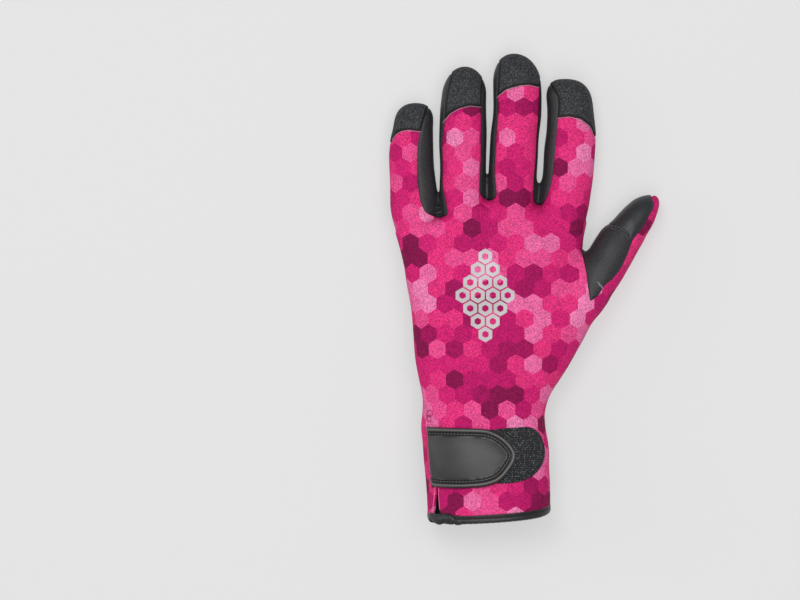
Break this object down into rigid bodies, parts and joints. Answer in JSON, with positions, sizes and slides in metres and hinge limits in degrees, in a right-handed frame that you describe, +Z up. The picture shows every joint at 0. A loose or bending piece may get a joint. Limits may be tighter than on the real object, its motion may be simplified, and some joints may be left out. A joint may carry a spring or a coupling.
{
  "type": "diving glove",
  "caption": "Left hand neoprene diving glove lying palm down, open cuff, patterned back, leather-faced palm, wrist strap on a loop patch and a wire ring on webbing.",
  "frame": {"origin": "middle of the glove's bounding box, on the surface it lies on", "axes": "+Y from the cuff to the fingertips, +X to the thumb side, +Z up through the back of the hand"},
  "size_m": [0.1424, 0.246, 0.0439],
  "materials": {
    "patterned_cloth": "knitted lining printed with a hexagon pattern in pinks and magentas",
    "black_neoprene": "black lined neoprene, matt",
    "palm_leather": "dark grey synthetic leather with a fine woven grain",
    "binding_tape": "black stretch binding",
    "loop_fabric": "black woven loop fabric",
    "strap_rubber": "soft dark grey rubber, satin",
    "webbing": "ribbed black webbing",
    "ring_wire": "black coated steel wire"
  },
  "bodies": {
    "root": {"back_panel": "patterned_cloth", "palm_panel": "black_neoprene", "thumb_inner": "black_neoprene", "fourchette_little_ring": "black_neoprene", "fourchette_ring_middle": "black_neoprene", "fourchette_middle_index": "black_neoprene", "cap_little": "black_neoprene", "cap_ring": "black_neoprene", "cap_middle": "black_neoprene", "cap_index": "black_neoprene", "palm_patch": "palm_leather", "tip_patch_little": "palm_leather", "tip_patch_ring": "palm_leather", "tip_patch_middle": "palm_leather", "tip_patch_index": "palm_leather", "thumb_tip_patch": "palm_leather", "hem_binding": "binding_tape", "slit_gusset": "black_neoprene", "loop_patch": "loop_fabric", "strap_tab": "strap_rubber", "webbing_loop": "webbing", "d_ring": "ring_wire"}
  },
  "joints": []
}
